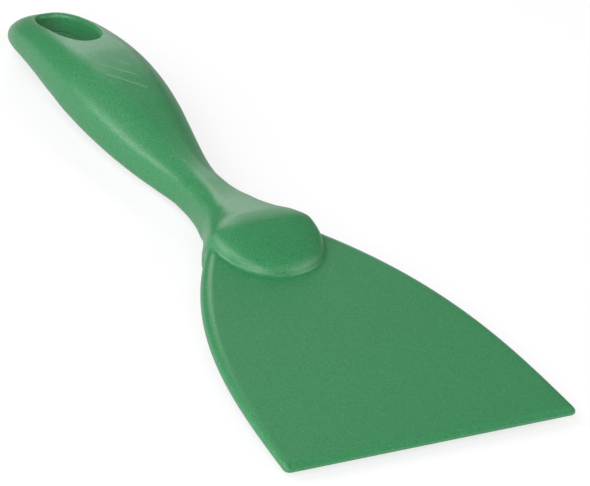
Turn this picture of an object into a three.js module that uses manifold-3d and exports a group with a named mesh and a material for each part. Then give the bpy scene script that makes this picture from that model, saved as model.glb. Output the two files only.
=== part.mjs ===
// Hand scraper moulded in one piece: a broad tapered blade with a bevelled working edge, a raised
// bolster over the blade's root, a waisted neck and a drooping grip with an oval hanging hole.
// Millimetres, +Z up, +X across the blade, +Y from the working edge towards the grip's tail.
// The tool lies as on a table, on the underside of its bolster and the belly of its grip, and the
// origin is on the table under the middle of the tool.

import * as THREE from 'three';
import { mergeVertices } from 'three/addons/utils/BufferGeometryUtils.js';
import Module from 'manifold-3d';

// Blade
const BLADE_WIDTH = 102;
const BLADE_REACH = 79.5; // working edge to the bolster's foot
const BLADE_TONGUE = 26.5; // run of the blade under the bolster and into the neck
const EDGE_LAND = 1; // blunt height of the working edge
const BEVEL_LENGTH = 2;
const BLADE_FRONT_THICKNESS = 2.8; // just behind the bevel
const BLADE_ROOT_THICKNESS = 7; // at the end of the tongue
const CORNER_RADIUS = 1.6; // the two front corners, seen from above
const SIDE_LEAN = 7.2; // straight part of the sides' draw-in over the blade's whole run
const SIDE_SWEEP = 30.7; // curved part of it
const SIDE_SWEEP_POWER = 2.95;
const SIDE_EDGE_TURN = 0.3; // radians short of square at which the round sides meet the faces
const SIDE_STRETCH = 1.65; // the sides' rounding is this much wider than it is high
const SIDE_POWER = 2.4; // 2 is an ellipse

// Bolster
const BOLSTER_WIDTH = 37;
const BOLSTER_LENGTH = 20.5; // foot to ridge
const BOLSTER_FRONT_ROUND = 18.4; // how far back the foot's arc runs
const BOLSTER_ARC_POWER = 2.2;
const BOLSTER_FRONT_DEPTH = 12; // over both faces, at the foot, as it would be without its rounding
const BOLSTER_RIDGE_DEPTH = 20; // over both faces, at the ridge
const BOLSTER_SHOULDER = 5.5; // rounding from the foot up to the flat pad
const RIDGE_DROP = 0.5; // the ridge's middle lies this far below the blade's mid-plane

// Neck and grip
const HANDLE_LENGTH = 161.1; // bolster's foot to the tail
const NECK_WIDTH = 14.6;
const NECK_DEPTH = 14.8;
const NECK_DROP = 4.5;
const GRIP_WIDTH = 33;
const GRIP_DEPTH = 20.8;
const GRIP_DROP = 4;
const TAIL_WIDTH = 24.2; // as it would be without its rounding
const TAIL_DEPTH = 10.8;
const TAIL_DROP = 15.3;
const TAIL_PLAN_ROUND = 17.5;
const TAIL_SIDE_ROUND = 11.3;
const FACE_CROWN = 0.1; // how domed the sections' four faces are: 0 is flat, 1 is an ellipse
const FLAT_TURN = 0.236; // radians either side of upright over which both faces are flat

// Hanging hole
const HOLE_LENGTH = 26; // clear, at its narrowest
const HOLE_WIDTH = 14.2;
const HOLE_TO_TAIL = 24.2; // middle of the hole to the tail
const HOLE_POWER = 2.4; // 2 is an ellipse
const HOLE_RIM = 1.3; // rounding of both rims
const PARTING_LEDGE = 0.35; // step where the two mould halves met
const LEDGE_HEIGHT = 0.5;

const CUT_OVERRUN = 6;

// Facets
const RING_POINTS = 40;
const HOLE_POINTS = 44;
const SIDE_STEPS = 6; // round side of the blade
const RIM_STEPS = 4;
const HANDLE_STEPS = 46;
const FRONT_STEPS = 9;
const TAIL_STEPS = 9;
const TAIL_TIP_SHARE = 0.002; // of the tail's rounding, left off as a flat
const HALVINGS = 24; // turns of the search for the skin's height
const LEVELLING_TURNS = 4;

const wasm = await Module();
wasm.setup();

const half = (size) => size / 2;

// A quarter turn of a rounded profile: 0 at share 0, rising steeply to 1 at share 1.
function quarterRound(share, power) {
  const left = 1 - Math.min(Math.max(share, 0), 1);
  return (1 - left ** power) ** (1 / power);
}

// Smooth curve through rows of [share along, value], without overshoot between the rows.
function smoothThrough(rows) {
  const slopes = rows.map((row, i) => {
    if (i === 0 || i === rows.length - 1) {
      const near = i === 0 ? 1 : i - 1;
      return (rows[near][1] - row[1]) / (rows[near][0] - row[0]);
    }
    const before = (row[1] - rows[i - 1][1]) / (row[0] - rows[i - 1][0]);
    const after = (rows[i + 1][1] - row[1]) / (rows[i + 1][0] - row[0]);
    return before * after <= 0 ? 0 : (2 * before * after) / (before + after);
  });
  return (share) => {
    let i = rows.findIndex((row) => row[0] > share) - 1;
    if (i < 0) i = share < rows[0][0] ? 0 : rows.length - 2;
    const span = rows[i + 1][0] - rows[i][0];
    const t = (share - rows[i][0]) / span;
    const rise = rows[i + 1][1] - rows[i][1];
    return (
      rows[i][1] +
      t * span * slopes[i] +
      t * t * (3 * rise - span * (2 * slopes[i] + slopes[i + 1])) +
      t * t * t * (span * (slopes[i] + slopes[i + 1]) - 2 * rise)
    );
  };
}

// A closed skin over a row of rings, with a flat cap on the first and the last.
function loft(rings) {
  const count = rings[0].length;
  const points = rings.flat();
  const index = [];
  for (let r = 0; r < rings.length - 1; r++) {
    for (let i = 0; i < count; i++) {
      const a = r * count + i;
      const b = r * count + ((i + 1) % count);
      index.push(a, b, b + count, a, b + count, a + count);
    }
  }
  for (const [first, flip] of [[0, true], [(rings.length - 1) * count, false]]) {
    const hub = points.length;
    const middle = new THREE.Vector3();
    for (let i = 0; i < count; i++) middle.addScaledVector(points[first + i], 1 / count);
    points.push(middle);
    for (let i = 0; i < count; i++) {
      const a = first + i;
      const b = first + ((i + 1) % count);
      if (flip) index.push(hub, b, a);
      else index.push(hub, a, b);
    }
  }
  const geometry = new THREE.BufferGeometry().setFromPoints(points);
  geometry.setIndex(index);
  return geometry;
}

function toSolid(geometry) {
  const merged = mergeVertices(geometry);
  const mesh = new wasm.Mesh({
    numProp: 3,
    vertProperties: new Float32Array(merged.attributes.position.array),
    triVerts: new Uint32Array(merged.index.array),
  });
  return new wasm.Manifold(mesh);
}

function toGeometry(solid) {
  const mesh = solid.getMesh();
  const geometry = new THREE.BufferGeometry();
  geometry.setAttribute('position', new THREE.BufferAttribute(mesh.vertProperties, mesh.numProp));
  geometry.setIndex(new THREE.BufferAttribute(mesh.triVerts, 1));
  return geometry;
}

// The blade: its sides draw in along a swept curve, its thickness grows towards the root, its long
// sides are round, and its front is bevelled on both faces.
const bladeRun = BLADE_REACH + BLADE_TONGUE;

function bladeHalfWidth(y) {
  const share = y / bladeRun;
  const side = half(BLADE_WIDTH) - SIDE_LEAN * share - SIDE_SWEEP * share ** SIDE_SWEEP_POWER;
  return side - CORNER_RADIUS * (1 - quarterRound(y / CORNER_RADIUS, 2));
}

function bladeThickness(y) {
  const body = BLADE_FRONT_THICKNESS + ((BLADE_ROOT_THICKNESS - BLADE_FRONT_THICKNESS) * y) / bladeRun;
  const bevel = EDGE_LAND + ((BLADE_FRONT_THICKNESS - EDGE_LAND) * y) / BEVEL_LENGTH;
  return Math.min(body, bevel);
}

function bladeRing(y) {
  const full = 2 / SIDE_POWER;
  const height = half(bladeThickness(y)) / Math.cos(SIDE_EDGE_TURN) ** full;
  const reach = height * SIDE_STRETCH;
  const middle = bladeHalfWidth(y) - reach;
  const ring = [];
  for (const side of [1, -1]) {
    for (let i = 0; i <= SIDE_STEPS; i++) {
      const turn = (Math.PI - 2 * SIDE_EDGE_TURN) * (i / SIDE_STEPS - 1 / 2);
      const up = Math.sign(turn) * Math.abs(Math.sin(turn)) ** full;
      ring.push(new THREE.Vector3(side * (middle + reach * Math.cos(turn) ** full), y, side * height * up));
    }
  }
  return ring;
}

function makeBlade() {
  const cornerShares = [0, 0.12, 0.35, 0.7, 1];
  const sideShares = [0.06, 0.12, 0.19, 0.26, 0.33, 0.4, 0.47, 0.54, 0.6, 0.66, 0.72, 0.78, 0.84, 0.9, 0.95, 1];
  const stations = [
    ...cornerShares.map((share) => share * CORNER_RADIUS),
    BEVEL_LENGTH,
    ...sideShares.map((share) => share * bladeRun),
  ];
  return loft(stations.map(bladeRing).map((ring) => ring.reverse()));
}

// Bolster, neck and grip are one run of sections. Each table gives [share of the handle's length,
// share of the size it is measured in], from the bolster's foot to the tail.
const ridgeShare = BOLSTER_LENGTH / HANDLE_LENGTH;
const neckShare = 0.342;

const halfWidthShares = [
  [0, half(BOLSTER_WIDTH) * 0.985],
  [0.1, half(BOLSTER_WIDTH) * 0.997],
  [ridgeShare, half(BOLSTER_WIDTH) * 0.99],
  [0.153, half(BOLSTER_WIDTH) * 0.895],
  [0.17, half(BOLSTER_WIDTH) * 0.82],
  [0.191, half(BOLSTER_WIDTH) * 0.706],
  [0.209, half(NECK_WIDTH) * 1.525],
  [0.228, half(NECK_WIDTH) * 1.33],
  [0.265, half(NECK_WIDTH) * 1.135],
  [0.309, half(NECK_WIDTH) * 1.003],
  [neckShare, half(NECK_WIDTH)],
  [0.368, half(NECK_WIDTH) * 1.07],
  [0.403, half(GRIP_WIDTH) * 0.542],
  [0.454, half(GRIP_WIDTH) * 0.665],
  [0.509, half(GRIP_WIDTH) * 0.793],
  [0.565, half(GRIP_WIDTH) * 0.899],
  [0.626, half(GRIP_WIDTH) * 0.972],
  [0.686, half(GRIP_WIDTH)],
  [0.752, half(GRIP_WIDTH) * 0.952],
  [0.813, half(GRIP_WIDTH) * 0.916],
  [0.863, half(GRIP_WIDTH) * 0.842],
  [0.914, half(TAIL_WIDTH) * 1.025],
  [1, half(TAIL_WIDTH)],
];

const halfDepthShares = [
  [0, half(BOLSTER_FRONT_DEPTH)],
  [ridgeShare * 0.85, half(BOLSTER_RIDGE_DEPTH) * 0.965],
  [ridgeShare, half(BOLSTER_RIDGE_DEPTH)],
  [0.148, half(BOLSTER_RIDGE_DEPTH) * 0.975],
  [0.191, half(BOLSTER_RIDGE_DEPTH) * 0.87],
  [0.228, half(NECK_DEPTH) * 1.09],
  [0.265, half(NECK_DEPTH) * 1.04],
  [0.309, half(NECK_DEPTH) * 1.01],
  [0.352, half(NECK_DEPTH)],
  [0.403, half(GRIP_DEPTH) * 0.76],
  [0.454, half(GRIP_DEPTH) * 0.84],
  [0.509, half(GRIP_DEPTH) * 0.905],
  [0.565, half(GRIP_DEPTH) * 0.962],
  [0.646, half(GRIP_DEPTH)],
  [0.696, half(GRIP_DEPTH) * 0.985],
  [0.752, half(GRIP_DEPTH) * 0.93],
  [0.813, half(GRIP_DEPTH) * 0.836],
  [0.863, half(GRIP_DEPTH) * 0.75],
  [0.914, half(TAIL_DEPTH) * 1.25],
  [1, half(TAIL_DEPTH)],
];

const dropShares = [
  [0, 0],
  [BOLSTER_SHOULDER / HANDLE_LENGTH, 0],
  [ridgeShare, RIDGE_DROP],
  [0.153, NECK_DROP * 0.19],
  [0.191, NECK_DROP * 0.39],
  [0.209, NECK_DROP * 0.475],
  [0.228, NECK_DROP * 0.58],
  [0.265, NECK_DROP * 0.765],
  [0.309, NECK_DROP * 0.87],
  [0.352, NECK_DROP],
  [0.403, GRIP_DROP * 1.275],
  [0.454, GRIP_DROP * 1.318],
  [0.509, GRIP_DROP * 1.257],
  [0.565, GRIP_DROP * 1.128],
  [0.656, GRIP_DROP * 0.99],
  [0.715, GRIP_DROP * 0.97],
  [0.752, GRIP_DROP * 1.03],
  [0.79, TAIL_DROP * 0.321],
  [0.813, TAIL_DROP * 0.352],
  [0.84, TAIL_DROP * 0.382],
  [0.863, TAIL_DROP * 0.419],
  [0.89, TAIL_DROP * 0.485],
  [0.914, TAIL_DROP * 0.562],
  [0.97, TAIL_DROP * 0.82],
  [1, TAIL_DROP * 0.96],
];

// Each section has four domed faces and four corner facets. These two tables place the facets: a
// point that lies the share x of the half width across and the share z of the half depth up is on a
// facet where across * x + up * z is 1.
const facetAcrossShares = [
  [0, 0.38], [ridgeShare * 0.85, 0.46], [ridgeShare, 0.465], [0.152, 0.55], [0.17, 0.58],
  [0.191, 0.67], [0.209, 0.691], [0.228, 0.72], [0.263, 0.688], [0.307, 0.598], [0.35, 0.554],
  [0.45, 0.588], [0.506, 0.636], [0.605, 0.68], [0.698, 0.705], [0.748, 0.735], [0.804, 0.76],
  [0.859, 0.76], [1, 0.75],
];

const facetUpShares = [
  [0, 0.72], [ridgeShare * 0.85, 0.7], [ridgeShare, 0.698], [0.152, 0.64], [0.17, 0.615],
  [0.191, 0.555], [0.209, 0.555], [0.228, 0.55], [0.263, 0.621], [0.307, 0.749], [0.35, 0.834],
  [0.45, 0.823], [0.506, 0.758], [0.605, 0.687], [0.698, 0.64], [0.748, 0.59], [0.804, 0.555],
  [0.859, 0.56], [1, 0.58],
];

// How crisp the edges between the faces are: 2 would round a section off whole.
const arrisPowerShares = [
  [0, 6], [0.05, 7], [ridgeShare * 0.85, 11], [ridgeShare, 13], [0.191, 14], [0.228, 16], [1, 16],
];

const halfWidthAt = smoothThrough(halfWidthShares);
const halfDepthAt = smoothThrough(halfDepthShares);
const dropAt = smoothThrough(dropShares);
const facetAcrossAt = smoothThrough(facetAcrossShares);
const facetUpAt = smoothThrough(facetUpShares);
const arrisPowerAt = smoothThrough(arrisPowerShares);

function handleSection(share) {
  const y = share * HANDLE_LENGTH;
  const fromTail = HANDLE_LENGTH - y;
  const foot = half(bladeThickness(BLADE_REACH));
  const shoulder = quarterRound(y / BOLSTER_SHOULDER, 2);
  return {
    y: BLADE_REACH + y,
    halfWidth: halfWidthAt(share) * quarterRound(y / BOLSTER_FRONT_ROUND, BOLSTER_ARC_POWER)
      * quarterRound(fromTail / TAIL_PLAN_ROUND, 2),
    halfDepth: (foot + (halfDepthAt(share) - foot) * shoulder)
      * quarterRound(fromTail / TAIL_SIDE_ROUND, 2),
    middle: -dropAt(share),
    facetAcross: facetAcrossAt(share),
    facetUp: facetUpAt(share),
    arrisPower: arrisPowerAt(share),
  };
}

// How far out a place is, in shares of the section's half width and half depth: 1 on the skin.
function outness(section, across, up) {
  const x = Math.abs(across);
  const z = Math.abs(up);
  const power = section.arrisPower;
  const sideFace = (x * x + FACE_CROWN * z * z) ** (power / 2);
  const topFace = (z * z + FACE_CROWN * x * x) ** (power / 2);
  const facet = (section.facetAcross * x + section.facetUp * z) ** power;
  return (sideFace + topFace + facet) ** (1 / power);
}

// Share of the half depth at which the middle of the upper and the lower face is flat.
function flatShare(section) {
  const up = Math.cos(FLAT_TURN);
  return up / outness(section, Math.sin(FLAT_TURN), up);
}

function handleRing(share) {
  const section = handleSection(share);
  const flat = flatShare(section);
  const ring = [];
  for (let i = 0; i < RING_POINTS; i++) {
    const turn = (2 * Math.PI * i) / RING_POINTS;
    const cos = Math.cos(turn);
    const sin = Math.sin(turn);
    const out = outness(section, cos, sin);
    const up = Math.min(Math.max(sin / out, -flat), flat);
    ring.push(new THREE.Vector3(section.halfWidth * cos / out, section.y, section.middle + section.halfDepth * up));
  }
  return ring;
}

function makeHandle() {
  const frontShare = BOLSTER_FRONT_ROUND / HANDLE_LENGTH;
  const tailShare = TAIL_PLAN_ROUND / HANDLE_LENGTH;
  const stations = [];
  for (let i = 1; i < FRONT_STEPS; i++) {
    stations.push(frontShare * (1 - Math.cos((Math.PI / 2) * (i / FRONT_STEPS))));
  }
  for (let i = 0; i < HANDLE_STEPS; i++) {
    stations.push(frontShare + (1 - frontShare - tailShare) * (i / HANDLE_STEPS));
  }
  for (let i = 0; i < TAIL_STEPS; i++) {
    stations.push(1 - tailShare * (1 - Math.sin((Math.PI / 2) * (i / TAIL_STEPS))));
  }
  stations.push(1 - tailShare * TAIL_TIP_SHARE);
  return loft(stations.map(handleRing).map((ring) => ring.reverse()));
}

// Height of the handle's upper (side 1) or lower (side -1) skin over a place in plan.
function skinHeight(x, y, side) {
  const section = handleSection((y - BLADE_REACH) / HANDLE_LENGTH);
  let inside = 0;
  let outside = 1;
  for (let i = 0; i < HALVINGS; i++) {
    const up = half(inside + outside);
    if (outness(section, x / section.halfWidth, up) < 1) inside = up;
    else outside = up;
  }
  return section.middle + side * section.halfDepth * Math.min(inside, flatShare(section));
}

// What the hole takes away: an oval shaft that opens out in a rounded rim on either face, a little
// narrower below the ledge where the mould halves met.
function makeHoleCutter() {
  const centreY = BLADE_REACH + HANDLE_LENGTH - HOLE_TO_TAIL;
  const outline = (i, growth) => {
    const turn = (2 * Math.PI * i) / HOLE_POINTS;
    const cos = Math.cos(turn);
    const sin = Math.sin(turn);
    return {
      x: (half(HOLE_WIDTH) + growth) * Math.sign(cos) * Math.abs(cos) ** (2 / HOLE_POWER),
      y: centreY + (half(HOLE_LENGTH) + growth) * Math.sign(sin) * Math.abs(sin) ** (2 / HOLE_POWER),
    };
  };
  const ring = (growth, height) => {
    const points = [];
    for (let i = 0; i < HOLE_POINTS; i++) {
      const { x, y } = outline(i, growth);
      points.push(new THREE.Vector3(x, y, height(outline(i, HOLE_RIM))));
    }
    return points;
  };
  const rims = (side) => {
    const rings = [ring(HOLE_RIM, (at) => skinHeight(at.x, at.y, side) + side * CUT_OVERRUN)];
    for (let i = 0; i <= RIM_STEPS; i++) {
      const turn = (Math.PI / 2) * (i / RIM_STEPS);
      const growth = HOLE_RIM * (1 - Math.sin(turn));
      const depth = HOLE_RIM * (1 - Math.cos(turn));
      rings.push(ring(growth, (at) => skinHeight(at.x, at.y, side) - side * depth));
    }
    return rings;
  };
  const middle = (at) => handleSection((at.y - BLADE_REACH) / HANDLE_LENGTH).middle;
  const ledge = [
    ring(0, (at) => middle(at) + LEDGE_HEIGHT),
    ring(PARTING_LEDGE, (at) => middle(at) + half(LEDGE_HEIGHT)),
    ring(PARTING_LEDGE, (at) => middle(at) - half(LEDGE_HEIGHT)),
    ring(0, (at) => middle(at) - LEDGE_HEIGHT),
  ];
  return loft([...rims(1), ...ledge, ...rims(-1).reverse()].reverse());
}

// Lowest point of the skin from one place along the tool to another.
function lowest(place, fromY, toY) {
  const low = new THREE.Vector3(0, 0, Infinity);
  for (let i = 0; i < place.count; i++) {
    const y = place.getY(i);
    if (y >= fromY && y <= toY && place.getZ(i) < low.z) low.set(0, y, place.getZ(i));
  }
  return low;
}

// Turns the tool until the underside of the bolster and the belly of the grip touch the table. Each
// turn brings the two lowest points level and may move them a little, so it is made a few times.
function lieOnTable(geometry) {
  const place = geometry.attributes.position;
  const neckY = BLADE_REACH + neckShare * HANDLE_LENGTH;
  const tailY = BLADE_REACH + HANDLE_LENGTH;
  for (let i = 0; i < LEVELLING_TURNS; i++) {
    const bolster = lowest(place, BLADE_REACH, neckY);
    const grip = lowest(place, neckY, tailY);
    geometry.rotateX(Math.atan2(bolster.z - grip.z, grip.y - bolster.y));
  }
  geometry.computeBoundingBox();
  const box = geometry.boundingBox;
  geometry.translate(0, -(box.min.y + box.max.y) / 2, -box.min.z);
}

const moulding = toSolid(makeHandle()).add(toSolid(makeBlade())).subtract(toSolid(makeHoleCutter()));
const geometry = toGeometry(moulding);
lieOnTable(geometry);

const polypropylene = new THREE.MeshStandardMaterial({
  name: 'speckled_green_polypropylene',
  color: 0x358050,
  roughness: 0.42,
  metalness: 0,
});

const scraper = new THREE.Mesh(geometry, polypropylene);
scraper.name = 'scraper_moulding';

const tool = new THREE.Group();
tool.add(scraper);

export default tool;
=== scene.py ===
import math

import bpy
import numpy as np
from mathutils import Matrix, Vector
from mathutils.bvhtree import BVHTree


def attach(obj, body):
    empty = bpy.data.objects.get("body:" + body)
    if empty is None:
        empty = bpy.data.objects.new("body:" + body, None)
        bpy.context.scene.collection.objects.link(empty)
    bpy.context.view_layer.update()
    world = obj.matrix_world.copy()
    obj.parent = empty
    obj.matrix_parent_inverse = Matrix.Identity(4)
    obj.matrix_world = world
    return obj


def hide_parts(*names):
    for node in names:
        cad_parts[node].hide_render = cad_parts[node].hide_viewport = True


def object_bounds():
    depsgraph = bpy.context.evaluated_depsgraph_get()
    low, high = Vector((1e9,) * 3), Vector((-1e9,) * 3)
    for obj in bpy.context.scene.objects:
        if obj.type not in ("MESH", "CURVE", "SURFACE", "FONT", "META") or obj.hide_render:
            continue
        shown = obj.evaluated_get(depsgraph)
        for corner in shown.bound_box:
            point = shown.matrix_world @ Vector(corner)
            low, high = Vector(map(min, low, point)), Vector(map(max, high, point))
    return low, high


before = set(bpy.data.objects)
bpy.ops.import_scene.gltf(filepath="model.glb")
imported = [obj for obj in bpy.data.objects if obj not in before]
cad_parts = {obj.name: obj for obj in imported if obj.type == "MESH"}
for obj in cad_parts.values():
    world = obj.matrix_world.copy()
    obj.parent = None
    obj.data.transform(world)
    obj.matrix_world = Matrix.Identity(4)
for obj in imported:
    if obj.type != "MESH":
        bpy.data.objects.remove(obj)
cad_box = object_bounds()

# Blade. A broad tapered plate, bevelled on both faces at the working edge, and of one moulding with
# all that follows. It is a skin over rings along y, whose sides draw in along a swept curve and are
# rounded over.
BLADE_WIDTH = 102
BLADE_REACH = 79.5
BLADE_TONGUE = 26.5
EDGE_LAND = 1
BEVEL_LENGTH = 2
BLADE_FRONT_THICKNESS = 2.8
BLADE_ROOT_THICKNESS = 7
CORNER_RADIUS = 1.6
SIDE_LEAN = 7.2
SIDE_SWEEP = 30.7
SIDE_SWEEP_POWER = 2.95
SIDE_EDGE_TURN = 0.3
SIDE_STRETCH = 1.65
SIDE_POWER = 2.4
BLADE_RUN = BLADE_REACH + BLADE_TONGUE
BLADE_COLUMNS = 110
SIDE_STEPS = 20
CORNER_STEPS = 8
OPEN_BLADE_ROWS = 50
ROOT_ROWS = 90
ROOT_START_SHARE = 0.66
CIRCLE_POWER = 2


def quarter_round(share, power):
    """Rise from 0 to 1 along a quarter of a circle, or of a squarer curve at a higher power."""
    left = 1 - min(max(share, 0), 1)
    return (1 - left**power) ** (1 / power)


def blade_half_width(y):
    share = y / BLADE_RUN
    side = BLADE_WIDTH / 2 - SIDE_LEAN * share - SIDE_SWEEP * share**SIDE_SWEEP_POWER
    return side - CORNER_RADIUS * (1 - quarter_round(y / CORNER_RADIUS, CIRCLE_POWER))


def blade_thickness(y):
    growth = BLADE_ROOT_THICKNESS - BLADE_FRONT_THICKNESS
    body = BLADE_FRONT_THICKNESS + growth * y / BLADE_RUN
    bevel = EDGE_LAND + (BLADE_FRONT_THICKNESS - EDGE_LAND) * y / BEVEL_LENGTH
    return min(body, bevel)


def blade_ring(y):
    full = 2 / SIDE_POWER
    height = blade_thickness(y) / 2 / math.cos(SIDE_EDGE_TURN) ** full
    reach = height * SIDE_STRETCH
    middle = blade_half_width(y) - reach
    flat = middle + reach * math.sin(SIDE_EDGE_TURN) ** full
    ring = []
    for side in (1, -1):
        for i in range(SIDE_STEPS + 1):
            turn = (math.pi - 2 * SIDE_EDGE_TURN) * (i / SIDE_STEPS - 1 / 2)
            up = math.copysign(abs(math.sin(turn)) ** full, turn)
            ring.append((side * (middle + reach * math.cos(turn) ** full), y, side * height * up))
        for i in range(1, BLADE_COLUMNS):
            x = side * flat * (1 - 2 * i / BLADE_COLUMNS)
            ring.append((x, y, side * blade_thickness(y) / 2))
    return ring


def loft(name, rings):
    """A closed skin over rings of equally many points, with a fan over the first and the last."""
    count = len(rings[0])
    points = [p for ring in rings for p in ring]
    faces = []
    for start in range(0, (len(rings) - 1) * count, count):
        for i in range(count):
            a = start + i
            b = start + (i + 1) % count
            faces.append((a, a + count, b + count, b))
    last = (len(rings) - 1) * count
    for first, turned in ((0, False), (last, True)):
        hub = len(points)
        points.append(tuple(np.mean(points[first : first + count], axis=0)))
        for i in range(count):
            a = first + i
            b = first + (i + 1) % count
            faces.append((hub, b, a) if turned else (hub, a, b))
    mesh = bpy.data.meshes.new(name)
    mesh.from_pydata(points, [], faces)
    obj = bpy.data.objects.new(name, mesh)
    bpy.context.scene.collection.objects.link(obj)
    return obj


corner_turns = [math.pi / 2 * i / CORNER_STEPS for i in range(CORNER_STEPS)]
corner_rows = [CORNER_RADIUS * (1 - math.cos(turn)) for turn in corner_turns]
root_start = BLADE_RUN * ROOT_START_SHARE
open_rows = np.linspace(BEVEL_LENGTH, root_start, OPEN_BLADE_ROWS, endpoint=False)
root_rows = np.linspace(root_start, BLADE_RUN, ROOT_ROWS)
blade = loft("blade", [blade_ring(float(y)) for y in [*corner_rows, *open_rows, *root_rows]])

# Bolster, neck and grip, of the same moulding. One run of sections from the bolster's foot to the
# tail, each with eight sides and soft arrises. The tables hold shares of the run and the sizes that
# the sections have there.
BOLSTER_WIDTH = 37
BOLSTER_LENGTH = 20.5
BOLSTER_FRONT_ROUND = 18.4
BOLSTER_ARC_POWER = 2.2
BOLSTER_FRONT_DEPTH = 12
BOLSTER_RIDGE_DEPTH = 20
BOLSTER_SHOULDER = 5.5
RIDGE_DROP = 0.5
HANDLE_LENGTH = 161.1
NECK_WIDTH = 14.6
NECK_DEPTH = 14.8
NECK_DROP = 4.5
GRIP_WIDTH = 33
GRIP_DEPTH = 20.8
GRIP_DROP = 4
TAIL_WIDTH = 24.2
TAIL_DEPTH = 10.8
TAIL_DROP = 15.3
TAIL_PLAN_ROUND = 17.5
TAIL_SIDE_ROUND = 11.3
FACE_CROWN = 0.1
FLAT_TURN = 0.236
TAIL_TIP_SHARE = 0.005
RIDGE_SHARE = BOLSTER_LENGTH / HANDLE_LENGTH
SHOULDER_SHARE = BOLSTER_SHOULDER / HANDLE_LENGTH
NECK_SHARE = 0.342
SECTION_POINTS = 240
SECTION_DRAFT_POINTS = 2400
FRONT_STEPS = 44
COVE_STEPS = 70
COVE_END_SHARE = 0.26
GRIP_STEPS = 110
TAIL_STEPS = 38

width_shares = [
    (0, BOLSTER_WIDTH * 0.985), (0.1, BOLSTER_WIDTH * 0.997), (RIDGE_SHARE, BOLSTER_WIDTH * 0.993),
    (0.153, BOLSTER_WIDTH * 0.897), (0.17, BOLSTER_WIDTH * 0.79), (0.191, BOLSTER_WIDTH * 0.673),
    (0.209, NECK_WIDTH * 1.48), (0.228, NECK_WIDTH * 1.312), (0.265, NECK_WIDTH * 1.113),
    (0.309, NECK_WIDTH * 0.993), (NECK_SHARE, NECK_WIDTH * 0.995), (0.368, NECK_WIDTH * 1.07),
    (0.403, GRIP_WIDTH * 0.542), (0.454, GRIP_WIDTH * 0.665), (0.509, GRIP_WIDTH * 0.793),
    (0.565, GRIP_WIDTH * 0.899), (0.626, GRIP_WIDTH * 0.972), (0.686, GRIP_WIDTH),
    (0.75, GRIP_WIDTH * 0.967), (0.775, GRIP_WIDTH * 0.946), (0.8, GRIP_WIDTH * 0.92),
    (0.825, GRIP_WIDTH * 0.89), (0.847, GRIP_WIDTH * 0.861), (0.872, GRIP_WIDTH * 0.83),
    (0.897, GRIP_WIDTH * 0.7995), (0.922, TAIL_WIDTH * 1.049), (0.95, TAIL_WIDTH * 1.003),
    (1, TAIL_WIDTH * 0.965),
]
depth_shares = [
    (0, BOLSTER_FRONT_DEPTH), (RIDGE_SHARE * 0.85, BOLSTER_RIDGE_DEPTH * 0.965),
    (RIDGE_SHARE, BOLSTER_RIDGE_DEPTH), (0.148, BOLSTER_RIDGE_DEPTH * 0.975),
    (0.191, BOLSTER_RIDGE_DEPTH * 0.87), (0.228, NECK_DEPTH * 1.09), (0.265, NECK_DEPTH * 1.04),
    (0.309, NECK_DEPTH * 1.01), (0.352, NECK_DEPTH), (0.403, GRIP_DEPTH * 0.76),
    (0.454, GRIP_DEPTH * 0.84), (0.509, GRIP_DEPTH * 0.905), (0.565, GRIP_DEPTH * 0.962),
    (0.646, GRIP_DEPTH), (0.696, GRIP_DEPTH * 0.985), (0.752, GRIP_DEPTH * 0.93),
    (0.813, GRIP_DEPTH * 0.836), (0.863, GRIP_DEPTH * 0.75), (0.914, TAIL_DEPTH * 1.25),
    (1, TAIL_DEPTH),
]
drop_shares = [
    (0, 0), (SHOULDER_SHARE, 0), (RIDGE_SHARE, RIDGE_DROP), (0.153, NECK_DROP * 0.12),
    (0.177, NECK_DROP * 0.245), (0.191, NECK_DROP * 0.327), (0.209, NECK_DROP * 0.437),
    (0.228, NECK_DROP * 0.565), (0.265, NECK_DROP * 0.723), (0.309, NECK_DROP * 0.845),
    (0.352, NECK_DROP * 0.99), (0.403, GRIP_DROP * 1.275), (0.454, GRIP_DROP * 1.318),
    (0.509, GRIP_DROP * 1.257), (0.565, GRIP_DROP * 1.128), (0.656, GRIP_DROP * 0.99),
    (0.715, GRIP_DROP * 0.97), (0.752, GRIP_DROP * 1.042), (0.79, TAIL_DROP * 0.3065),
    (0.813, TAIL_DROP * 0.3335), (0.84, TAIL_DROP * 0.37), (0.863, TAIL_DROP * 0.414),
    (0.89, TAIL_DROP * 0.474), (0.914, TAIL_DROP * 0.543), (0.94, TAIL_DROP * 0.649),
    (0.97, TAIL_DROP * 0.812), (1, TAIL_DROP * 0.945),
]
# A point at the share x of the half width and z of the half depth is on a corner facet where
# across * x + up * z is 1. The arris power says how crisp the edges between the faces are.
facet_across_shares = [
    (0, 0.38), (RIDGE_SHARE * 0.85, 0.46), (RIDGE_SHARE, 0.455), (0.152, 0.558), (0.17, 0.608),
    (0.191, 0.692), (0.209, 0.692), (0.228, 0.69), (0.263, 0.682), (0.307, 0.592), (0.35, 0.548),
    (0.45, 0.582), (0.506, 0.629), (0.605, 0.672), (0.698, 0.697), (0.748, 0.711), (0.804, 0.738),
    (0.859, 0.714), (1, 0.725),
]
facet_up_shares = [
    (0, 0.72), (RIDGE_SHARE * 0.85, 0.7), (RIDGE_SHARE, 0.721), (0.152, 0.642), (0.17, 0.628),
    (0.191, 0.56), (0.209, 0.555), (0.228, 0.526), (0.263, 0.614), (0.307, 0.741), (0.35, 0.825),
    (0.45, 0.814), (0.506, 0.749), (0.605, 0.679), (0.698, 0.632), (0.748, 0.595), (0.804, 0.558),
    (0.859, 0.585), (1, 0.63),
]
arris_power_shares = [
    (0, 6), (0.05, 7), (RIDGE_SHARE * 0.85, 11), (RIDGE_SHARE, 13), (0.191, 13), (0.3, 13), (0.45, 12),
    (0.7, 14), (0.88, 14), (1, 8),
]


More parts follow.
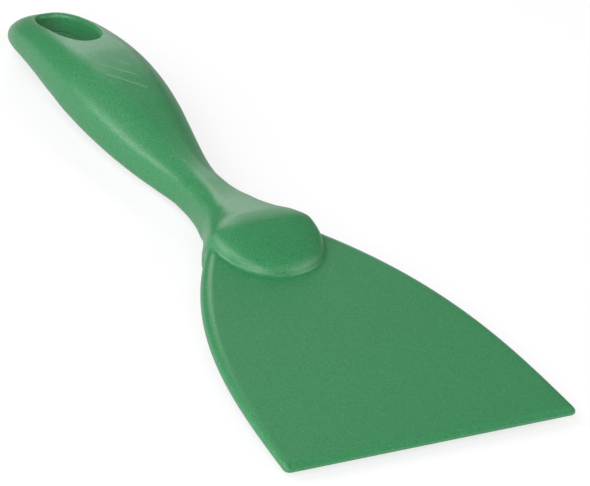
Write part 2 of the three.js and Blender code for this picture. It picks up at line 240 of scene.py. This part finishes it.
def smooth_through(rows):
    """Smooth curve through (share, size) rows, without overshoot between the rows."""
    slopes = []
    for i, (share, size) in enumerate(rows):
        near = [rows[j] for j in (i - 1, i + 1) if 0 <= j < len(rows)]
        steps = [(size - n[1]) / (share - n[0]) for n in near]
        if len(steps) == 1:
            slopes.append(steps[0])
        elif steps[0] * steps[1] <= 0:
            slopes.append(0)
        else:
            slopes.append(2 * steps[0] * steps[1] / (steps[0] + steps[1]))

    def size_at(share):
        i = 0
        while i < len(rows) - 2 and rows[i + 1][0] <= share:
            i += 1
        span = rows[i + 1][0] - rows[i][0]
        rise = rows[i + 1][1] - rows[i][1]
        t = (share - rows[i][0]) / span
        a, b = span * slopes[i], span * slopes[i + 1]
        return rows[i][1] + t * a + t * t * (3 * rise - 2 * a - b) + t * t * t * (a + b - 2 * rise)

    return size_at


width_at = smooth_through(width_shares)
depth_at = smooth_through(depth_shares)
drop_at = smooth_through(drop_shares)
facet_across_at = smooth_through(facet_across_shares)
facet_up_at = smooth_through(facet_up_shares)
arris_power_at = smooth_through(arris_power_shares)


def section(share):
    """Half width, half depth, middle height, and the facets' place and arris power, of a section."""
    y = share * HANDLE_LENGTH
    from_tail = HANDLE_LENGTH - y
    foot = blade_thickness(BLADE_REACH) / 2
    arc = quarter_round(y / BOLSTER_FRONT_ROUND, BOLSTER_ARC_POWER)
    shoulder = quarter_round(y / BOLSTER_SHOULDER, CIRCLE_POWER)
    half_width = width_at(share) / 2 * arc * quarter_round(from_tail / TAIL_PLAN_ROUND, CIRCLE_POWER)
    half_depth = foot + (depth_at(share) / 2 - foot) * shoulder
    half_depth *= quarter_round(from_tail / TAIL_SIDE_ROUND, CIRCLE_POWER)
    facet = (facet_across_at(share), facet_up_at(share), arris_power_at(share))
    return half_width, half_depth, -drop_at(share), facet


def outness(facet, across, up):
    """How far out a place is, in shares of the half width and half depth: 1 on the skin."""
    x, z = abs(across), abs(up)
    facet_across, facet_up, power = facet
    side_face = (x * x + FACE_CROWN * z * z) ** (power / 2)
    top_face = (z * z + FACE_CROWN * x * x) ** (power / 2)
    corner = (facet_across * x + facet_up * z) ** power
    return (side_face + top_face + corner) ** (1 / power)


def flat_share(facet):
    """Share of the half depth at which the middle of the upper and the lower face is flat."""
    up = math.cos(FLAT_TURN)
    return up / outness(facet, math.sin(FLAT_TURN), up)


draft_turns = np.linspace(0, 2 * math.pi, SECTION_DRAFT_POINTS + 1)
draft_cos, draft_sin = np.cos(draft_turns), np.sin(draft_turns)


def handle_ring(share):
    half_width, half_depth, middle, facet = section(share)
    out = outness(facet, draft_cos, draft_sin)
    x = half_width * draft_cos / out
    z = half_depth * np.clip(draft_sin / out, -flat_share(facet), flat_share(facet))
    run = np.concatenate([[0], np.cumsum(np.hypot(np.diff(x), np.diff(z)))])
    even = np.linspace(0, run[-1], SECTION_POINTS, endpoint=False)
    y = BLADE_REACH + share * HANDLE_LENGTH
    return [(a, y, middle + b) for a, b in zip(np.interp(even, run, x), np.interp(even, run, z))]


front_share = BOLSTER_FRONT_ROUND / HANDLE_LENGTH
tail_share = 1 - TAIL_PLAN_ROUND / HANDLE_LENGTH
front_turns = [math.pi / 2 * i / FRONT_STEPS for i in range(1, FRONT_STEPS)]
stations = [front_share * (1 - math.cos(turn)) for turn in front_turns]
stations += list(np.linspace(front_share, COVE_END_SHARE, COVE_STEPS, endpoint=False))
stations += list(np.linspace(COVE_END_SHARE, tail_share, GRIP_STEPS, endpoint=False))
tail_turns = [math.pi / 2 * i / TAIL_STEPS for i in range(TAIL_STEPS)]
stations += [tail_share + (1 - tail_share) * math.sin(turn) for turn in tail_turns]
stations.append(1 - (1 - tail_share) * TAIL_TIP_SHARE)
handle = loft("handle", [handle_ring(float(share)) for share in stations])

# Hanging hole. An oval shaft with rounded rims that follow the grip's skin, and a small ledge half
# way down where the two mould halves met.
HOLE_LENGTH = 26
HOLE_WIDTH = 14.2
HOLE_TO_TAIL = 24.2
HOLE_POWER = 2.4
HOLE_RIM = 1.3
PARTING_LEDGE = 0.35
LEDGE_HEIGHT = 0.5
CUT_OVERRUN = 6
HOLE_POINTS = 176
RIM_STEPS = 10
HALVINGS = 24


def skin_height(x, y, side):
    half_width, half_depth, middle, facet = section((y - BLADE_REACH) / HANDLE_LENGTH)
    inside, outside = 0, 1
    for halving in range(HALVINGS):
        up = (inside + outside) / 2
        if outness(facet, x / half_width, up) < 1:
            inside = up
        else:
            outside = up
    return middle + side * half_depth * min(inside, flat_share(facet))


def hole_outline(growth):
    centre_y = BLADE_REACH + HANDLE_LENGTH - HOLE_TO_TAIL
    outline = []
    for i in range(HOLE_POINTS):
        turn = 2 * math.pi * i / HOLE_POINTS
        across, along = math.cos(turn), math.sin(turn)
        x = (HOLE_WIDTH / 2 + growth) * math.copysign(abs(across) ** (2 / HOLE_POWER), across)
        y = (HOLE_LENGTH / 2 + growth) * math.copysign(abs(along) ** (2 / HOLE_POWER), along)
        outline.append((x, centre_y + y))
    return outline


rim_outline = hole_outline(HOLE_RIM)


def hole_ring(growth, height_at):
    return [(*at, height_at(*rim)) for at, rim in zip(hole_outline(growth), rim_outline)]


def rim_rings(side):
    rings = [hole_ring(HOLE_RIM, lambda x, y: skin_height(x, y, side) + side * CUT_OVERRUN)]
    for i in range(RIM_STEPS + 1):
        turn = math.pi / 2 * i / RIM_STEPS
        growth = HOLE_RIM * (1 - math.sin(turn))
        depth = HOLE_RIM * (1 - math.cos(turn))
        rings.append(hole_ring(growth, lambda x, y, d=depth: skin_height(x, y, side) - side * d))
    return rings


def grip_middle(x, y):
    return section((y - BLADE_REACH) / HANDLE_LENGTH)[2]


ledge_rings = [
    hole_ring(0, lambda x, y: grip_middle(x, y) + LEDGE_HEIGHT),
    hole_ring(PARTING_LEDGE, lambda x, y: grip_middle(x, y) + LEDGE_HEIGHT / 2),
    hole_ring(PARTING_LEDGE, lambda x, y: grip_middle(x, y) - LEDGE_HEIGHT / 2),
    hole_ring(0, lambda x, y: grip_middle(x, y) - LEDGE_HEIGHT),
]
hole = loft("hole", [*rim_rings(1), *ledge_rings, *reversed(rim_rings(-1))])

# Grip grooves. Three shallow slanted grooves, side by side in the grip's upper face below the hole,
# where the mould has fine ribs. Each cutter follows the skin and runs out at its ends, and its
# sloping walls go on above the skin.
GROOVE_WIDTH = 0.6
GROOVE_DEPTH = 0.3
GROOVE_ACROSS = 10
GROOVE_ALONG = 9.2
GROOVE_PITCH = 6
GROOVE_OFF_MIDDLE = 1.3
GROOVE_OVERRUN = 1
FIRST_GROOVE_TO_TAIL = 49.6
GROOVES = 3
GROOVE_STEPS = 40
GROOVE_FLOOR_SHARE = 0.3
GROOVE_END_SHARE = 0.1
GROOVE_TIP_SHARE = 0.05


def groove_ring(middle_y, share):
    x = GROOVE_ACROSS * (share - 1 / 2) - GROOVE_OFF_MIDDLE
    y = middle_y - GROOVE_ALONG * (share - 1 / 2)
    to_end = min(share, 1 - share) / GROOVE_END_SHARE
    size = max(quarter_round(to_end, CIRCLE_POWER), GROOVE_TIP_SHARE)
    half_width = size * GROOVE_WIDTH / 2 / math.hypot(GROOVE_ACROSS, GROOVE_ALONG)
    depth = size * GROOVE_DEPTH
    top = 1 + (1 - GROOVE_FLOOR_SHARE) * GROOVE_OVERRUN / depth
    profile = ((top, -GROOVE_OVERRUN), (GROOVE_FLOOR_SHARE, depth),
               (-GROOVE_FLOOR_SHARE, depth), (-top, -GROOVE_OVERRUN))
    ring = []
    for aside, down in profile:
        at = (x + aside * half_width * GROOVE_ALONG, y + aside * half_width * GROOVE_ACROSS)
        ring.append((*at, skin_height(*at, 1) - down))
    return ring


grooves = []
for i in range(GROOVES):
    middle_y = BLADE_REACH + HANDLE_LENGTH - FIRST_GROOVE_TO_TAIL - GROOVE_PITCH * i
    rings = [groove_ring(middle_y, j / GROOVE_STEPS) for j in range(GROOVE_STEPS + 1)]
    grooves.append(loft("groove", rings))

# Moulding. The blade and the handle become one skin, the hole goes through it, and the inner
# corner between bolster and blade gets the small radius that a mould has there.
FILLET_REACH = 1
FILLET_SMOOTHINGS = 3
FILLET_STEPS = 4
SKIN_CLOSENESS = 0.001
MILLIMETRE = 0.001
LEVELLING_TURNS = 4
SHARP_ANGLE = 17


def evaluated_mesh(obj):
    graph = bpy.context.evaluated_depsgraph_get()
    return bpy.data.meshes.new_from_object(obj.evaluated_get(graph))


def combine(obj, other, operation):
    step = obj.modifiers.new(operation, "BOOLEAN")
    step.operation = operation
    step.solver = "MANIFOLD"
    step.object = other
    mesh = evaluated_mesh(obj)
    obj.modifiers.clear()
    obj.data = mesh


def points_of(mesh):
    flat = np.empty(3 * len(mesh.vertices))
    mesh.vertices.foreach_get("co", flat)
    return flat.reshape(-1, 3)


graph = bpy.context.evaluated_depsgraph_get()
trees = [BVHTree.FromObject(obj, graph) for obj in (handle, blade)]
scraper = bpy.data.objects.new("scraper_moulding_skin", handle.data.copy())
bpy.context.scene.collection.objects.link(scraper)
combine(scraper, blade, "UNION")
for cutter in (hole, *grooves):
    combine(scraper, cutter, "DIFFERENCE")


def depth_in(tree, point):
    """Distance from a skin, less than zero inside it, and the direction away from the skin."""
    place, normal, _, distance = tree.find_nearest(point)
    away = point - place
    if distance < SKIN_CLOSENESS:
        return away.dot(normal), normal
    side = math.copysign(1, away.dot(normal))
    return side * distance, away * (side / distance)


def towards_fillet(point):
    """The step from a point near the inner corner to the rounded skin there."""
    (near, near_away), (far, far_away) = sorted(
        (depth_in(tree, point) for tree in trees), key=lambda found: found[0]
    )
    blend = max(FILLET_REACH - far + near, 0) / FILLET_REACH
    depth = near - blend * blend * FILLET_REACH / 4
    away = near_away * (1 - blend / 2) + far_away * (blend / 2)
    return away * (-depth / max(away.length_squared, SKIN_CLOSENESS))


mesh = scraper.data
corner_points = []
for vertex in mesh.vertices:
    if BLADE_REACH - FILLET_REACH < vertex.co.y < BLADE_RUN + FILLET_REACH:
        if all(abs(depth_in(tree, vertex.co)[0]) < FILLET_REACH for tree in trees):
            corner_points.append(vertex.index)
neighbours = {i: [] for i in corner_points}
for edge in mesh.edges:
    for i, j in (edge.vertices, reversed(edge.vertices)):
        if i in neighbours:
            neighbours[i].append(j)
for smoothing in range(FILLET_SMOOTHINGS + 1):
    if smoothing:
        even = [sum((mesh.vertices[j].co for j in neighbours[i]), Vector()) / len(neighbours[i])
                for i in corner_points]
        for i, point in zip(corner_points, even):
            mesh.vertices[i].co = point
    for i in corner_points:
        point = mesh.vertices[i].co.copy()
        for step in range(FILLET_STEPS):
            point += towards_fillet(point)
        mesh.vertices[i].co = point
mesh.update()

for helper in (blade, handle, hole, *grooves):
    bpy.data.objects.remove(helper)


def lowest(points, from_y, to_y):
    between = points[(points[:, 1] >= from_y) & (points[:, 1] <= to_y)]
    return between[np.argmin(between[:, 2])]


points = points_of(mesh)
for turn in range(LEVELLING_TURNS):
    neck_y = BLADE_REACH + NECK_SHARE * HANDLE_LENGTH
    bolster_low = lowest(points, BLADE_REACH, neck_y)
    grip_low = lowest(points, neck_y, BLADE_REACH + HANDLE_LENGTH)
    lift = math.atan2(bolster_low[2] - grip_low[2], grip_low[1] - bolster_low[1])
    points = points @ np.array(Matrix.Rotation(lift, 3, "X")).T
cad_low, cad_high = (np.array(corner) for corner in cad_box)
points *= MILLIMETRE
low, high = points.min(axis=0), points.max(axis=0)
points[:, 1] += (cad_low[1] + cad_high[1] - low[1] - high[1]) / 2
points[:, 2] += cad_low[2] - low[2]
mesh.vertices.foreach_set("co", points.ravel())
mesh.update()
mesh.shade_smooth()
mesh.set_sharp_from_angle(angle=math.radians(SHARP_ANGLE))
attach(scraper, "root")
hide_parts("scraper_moulding")

# Speckled polypropylene, injection moulded against a fine spark-eroded mould. It is satin, so its
# highlights are soft, and the regrind in it shows as dark flecks with a few pale ones. The flecks
# and the grain are drawn about twice as coarse as the real ones, which no view would show.
GREEN_SHADE = "#287445"
GREEN_TINT = "#398454"
DARK_FLECK = "#21663c"
PALE_FLECK = "#5ba276"
POLYPROPYLENE_IOR = 1.5
SATIN_ROUGHNESS = 0.42
DARK_FLECK_SPACING = 0.62
DARK_FLECK_SIZE = 0.36
DARK_FLECK_SHARE = 0.5
PALE_FLECK_SPACING = 1.2
PALE_FLECK_SIZE = 0.32
PALE_FLECK_SHARE = 0.3
FLECK_EDGE_SHARE = 0.45
GRAIN_SPACING = 0.5
GRAIN_HEIGHT = 0.012
GRAIN_STRENGTH = 0.3
GRAIN_LOW_SHARE = 0.3
GRAIN_HIGH_SHARE = 0.7


def linear(hex_colour):
    """An sRGB hex colour as linear red, green, blue and alpha."""
    parts = [int(hex_colour[i : i + 2], 16) / 255 for i in (1, 3, 5)]
    return [*(p / 12.92 if p <= 0.04045 else ((p + 0.055) / 1.055) ** 2.4 for p in parts), 1]


def add_node(tree, kind, settings=None, links=None):
    """A node with its settings, and with its inputs set to values or linked to other outputs."""
    node = tree.nodes.new(kind)
    for name, value in (settings or {}).items():
        setattr(node, name, value)
    for name, value in (links or {}).items():
        if isinstance(value, bpy.types.NodeSocket):
            tree.links.new(value, node.inputs[name])
        else:
            node.inputs[name].default_value = value
    return node


polypropylene = bpy.data.materials.new("speckled_polypropylene")
polypropylene.use_nodes = True
tree = polypropylene.node_tree
shader = tree.nodes["Principled BSDF"]
shader.inputs["IOR"].default_value = POLYPROPYLENE_IOR
shader.inputs["Roughness"].default_value = SATIN_ROUGHNESS
place = add_node(tree, "ShaderNodeTexCoord").outputs["Object"]


def fleck_mask(spacing, size, share):
    """1 inside the flecks: one in each cell of the pattern, of which only a share is kept."""
    cells = add_node(tree, "ShaderNodeTexVoronoi",
                     links={"Vector": place, "Scale": 1 / (spacing * MILLIMETRE)})
    edge = size / spacing / 2
    inside = add_node(tree, "ShaderNodeMapRange", {"interpolation_type": "SMOOTHSTEP"}, {
        "Value": cells.outputs["Distance"], "From Min": edge * (1 + FLECK_EDGE_SHARE),
        "From Max": edge * (1 - FLECK_EDGE_SHARE),
    })
    draw = add_node(tree, "ShaderNodeSeparateColor", links={"Color": cells.outputs["Color"]})
    kept = add_node(tree, "ShaderNodeMath", {"operation": "LESS_THAN"}, {0: draw.outputs[0], 1: share})
    both = {0: inside.outputs["Result"], 1: kept.outputs[0]}
    return add_node(tree, "ShaderNodeMath", {"operation": "MULTIPLY"}, both).outputs[0]


grain = add_node(tree, "ShaderNodeTexNoise",
                 links={"Vector": place, "Scale": 1 / (GRAIN_SPACING * MILLIMETRE)})
tint = add_node(tree, "ShaderNodeMapRange", links={
    "Value": grain.outputs["Fac"], "From Min": GRAIN_LOW_SHARE, "From Max": GRAIN_HIGH_SHARE,
})
green = add_node(tree, "ShaderNodeMix", {"data_type": "RGBA"},
                 {"Factor": tint.outputs["Result"], 6: linear(GREEN_SHADE), 7: linear(GREEN_TINT)})
dark = fleck_mask(DARK_FLECK_SPACING, DARK_FLECK_SIZE, DARK_FLECK_SHARE)
pale = fleck_mask(PALE_FLECK_SPACING, PALE_FLECK_SIZE, PALE_FLECK_SHARE)
darkened = add_node(tree, "ShaderNodeMix", {"data_type": "RGBA"},
                    {"Factor": dark, 6: green.outputs[2], 7: linear(DARK_FLECK)})
flecked = add_node(tree, "ShaderNodeMix", {"data_type": "RGBA"},
                   {"Factor": pale, 6: darkened.outputs[2], 7: linear(PALE_FLECK)})
tree.links.new(flecked.outputs[2], shader.inputs["Base Color"])
grain_bump = add_node(tree, "ShaderNodeBump", links={
    "Strength": GRAIN_STRENGTH, "Distance": GRAIN_HEIGHT * MILLIMETRE, "Height": grain.outputs["Fac"],
})
tree.links.new(grain_bump.outputs["Normal"], shader.inputs["Normal"])
mesh.materials.clear()
mesh.materials.append(polypropylene)

# Camera. A long lens from the front left and above, held at a slant, as the photo was taken.
CAMERA_PLACE = (-0.94104, -1.23529, 0.93018)
CAMERA_AIM = (0.022170, -0.010001, 0)
CAMERA_SLANT = 11.7063
LENS = 366.1
SENSOR = 36
NEAREST = 0.1
FARTHEST = 30

camera_data = bpy.data.cameras.new("camera")
camera_data.lens = LENS
camera_data.sensor_width = SENSOR
camera_data.clip_start = NEAREST
camera_data.clip_end = FARTHEST
camera = bpy.data.objects.new("camera", camera_data)
bpy.context.scene.collection.objects.link(camera)
direction = Vector(CAMERA_AIM) - Vector(CAMERA_PLACE)
slant = Matrix.Rotation(math.radians(CAMERA_SLANT), 4, "Z")
camera.matrix_world = (
    Matrix.Translation(CAMERA_PLACE) @ direction.to_track_quat("-Z", "Y").to_matrix().to_4x4() @ slant
)
bpy.context.scene.camera = camera

# Studio. A white table in a white room with six soft lamps round it. What a lens or a reflection
# sees of the white is brighter than what lights the scraper, and the table keeps its shadow.
FLOOR_SIZE = 16
FLOOR_WHITE = "#e8e8e8"
SEEN_WHITE = "#ffffff"
SHADOW_SHARE = 0.3
ROOM_SHEEN_SHARE = 0.1
LAMP_DISTANCE = 1.2
FULL_LEVEL_POWER = 14.2
# name, degrees round from the tail towards +x, degrees up, width, height, share of full level
lamp_shares = [
    ("front_softbox", 218, 28, 1, 0.8, 0.92),
    ("left_softbox", 287, 28, 0.5, 1, 0.75),
    ("high_left_lamp", 262, 60, 0.2, 0.2, 0.16),
    ("right_softbox", 130, 28, 0.75, 0.7, 0.45),
    ("back_softbox", 18, 33, 0.45, 0.35, 0.21),
    ("low_back_softbox", 34, 14, 0.5, 0.3, 0.11),
]


def seen_ray(tree):
    """1 where a lens, a reflection or a look through something sees the surface."""
    path = add_node(tree, "ShaderNodeLightPath")
    seen = path.outputs["Is Camera Ray"]
    for name in ("Is Glossy Ray", "Is Transmission Ray"):
        either = {0: seen, 1: path.outputs[name]}
        seen = add_node(tree, "ShaderNodeMath", {"operation": "MAXIMUM"}, either).outputs[0]
    return seen


floor_mesh = bpy.data.meshes.new("floor")
floor_half = FLOOR_SIZE / 2
floor_corners = [(x, y, 0) for x, y in ((-1, -1), (1, -1), (1, 1), (-1, 1))]
floor_mesh.from_pydata([(x * floor_half, y * floor_half, z) for x, y, z in floor_corners], [], [range(4)])
floor = bpy.data.objects.new("floor", floor_mesh)
bpy.context.scene.collection.objects.link(floor)

table_white = bpy.data.materials.new("white_laminate_table")
table_white.use_nodes = True
tree = table_white.node_tree
tree.nodes.clear()
matt = add_node(tree, "ShaderNodeBsdfDiffuse", links={"Color": linear(FLOOR_WHITE)})
seen_matt = add_node(tree, "ShaderNodeBsdfDiffuse", links={"Color": linear(SEEN_WHITE)})
lit = add_node(tree, "ShaderNodeEmission", links={"Color": linear(SEEN_WHITE)})
seen_mix = add_node(tree, "ShaderNodeMixShader",
                    links={0: SHADOW_SHARE, 1: lit.outputs[0], 2: seen_matt.outputs[0]})
table_mix = add_node(tree, "ShaderNodeMixShader",
                     links={0: seen_ray(tree), 1: matt.outputs[0], 2: seen_mix.outputs[0]})
add_node(tree, "ShaderNodeOutputMaterial", links={"Surface": table_mix.outputs[0]})
floor_mesh.materials.append(table_white)

for name, round_degrees, up_degrees, width, height, share in lamp_shares:
    round_turn, up_turn = math.radians(round_degrees), math.radians(up_degrees)
    towards = Vector((math.cos(up_turn) * math.sin(round_turn), math.cos(up_turn) * math.cos(round_turn),
                      math.sin(up_turn)))
    data = bpy.data.lights.new(name, "AREA")
    data.shape = "RECTANGLE"
    data.size = width
    data.size_y = height
    data.energy = FULL_LEVEL_POWER * share
    lamp = bpy.data.objects.new(name, data)
    bpy.context.scene.collection.objects.link(lamp)
    lamp.location = towards * LAMP_DISTANCE
    lamp.rotation_euler = (-towards).to_track_quat("-Z", "Y").to_euler()
    lamp.visible_camera = False

world = bpy.data.worlds.new("white_room")
world.use_nodes = True
tree = world.node_tree
background = tree.nodes["Background"]
background.inputs["Color"].default_value = linear(SEEN_WHITE)
path = add_node(tree, "ShaderNodeLightPath")
sheen = add_node(tree, "ShaderNodeMath", {"operation": "MULTIPLY_ADD"}, {
    0: path.outputs["Is Glossy Ray"], 1: ROOM_SHEEN_SHARE, 2: path.outputs["Is Camera Ray"],
})
tree.links.new(sheen.outputs[0], background.inputs["Strength"])
bpy.context.scene.world = world

bpy.context.scene.view_settings.view_transform = "Standard"
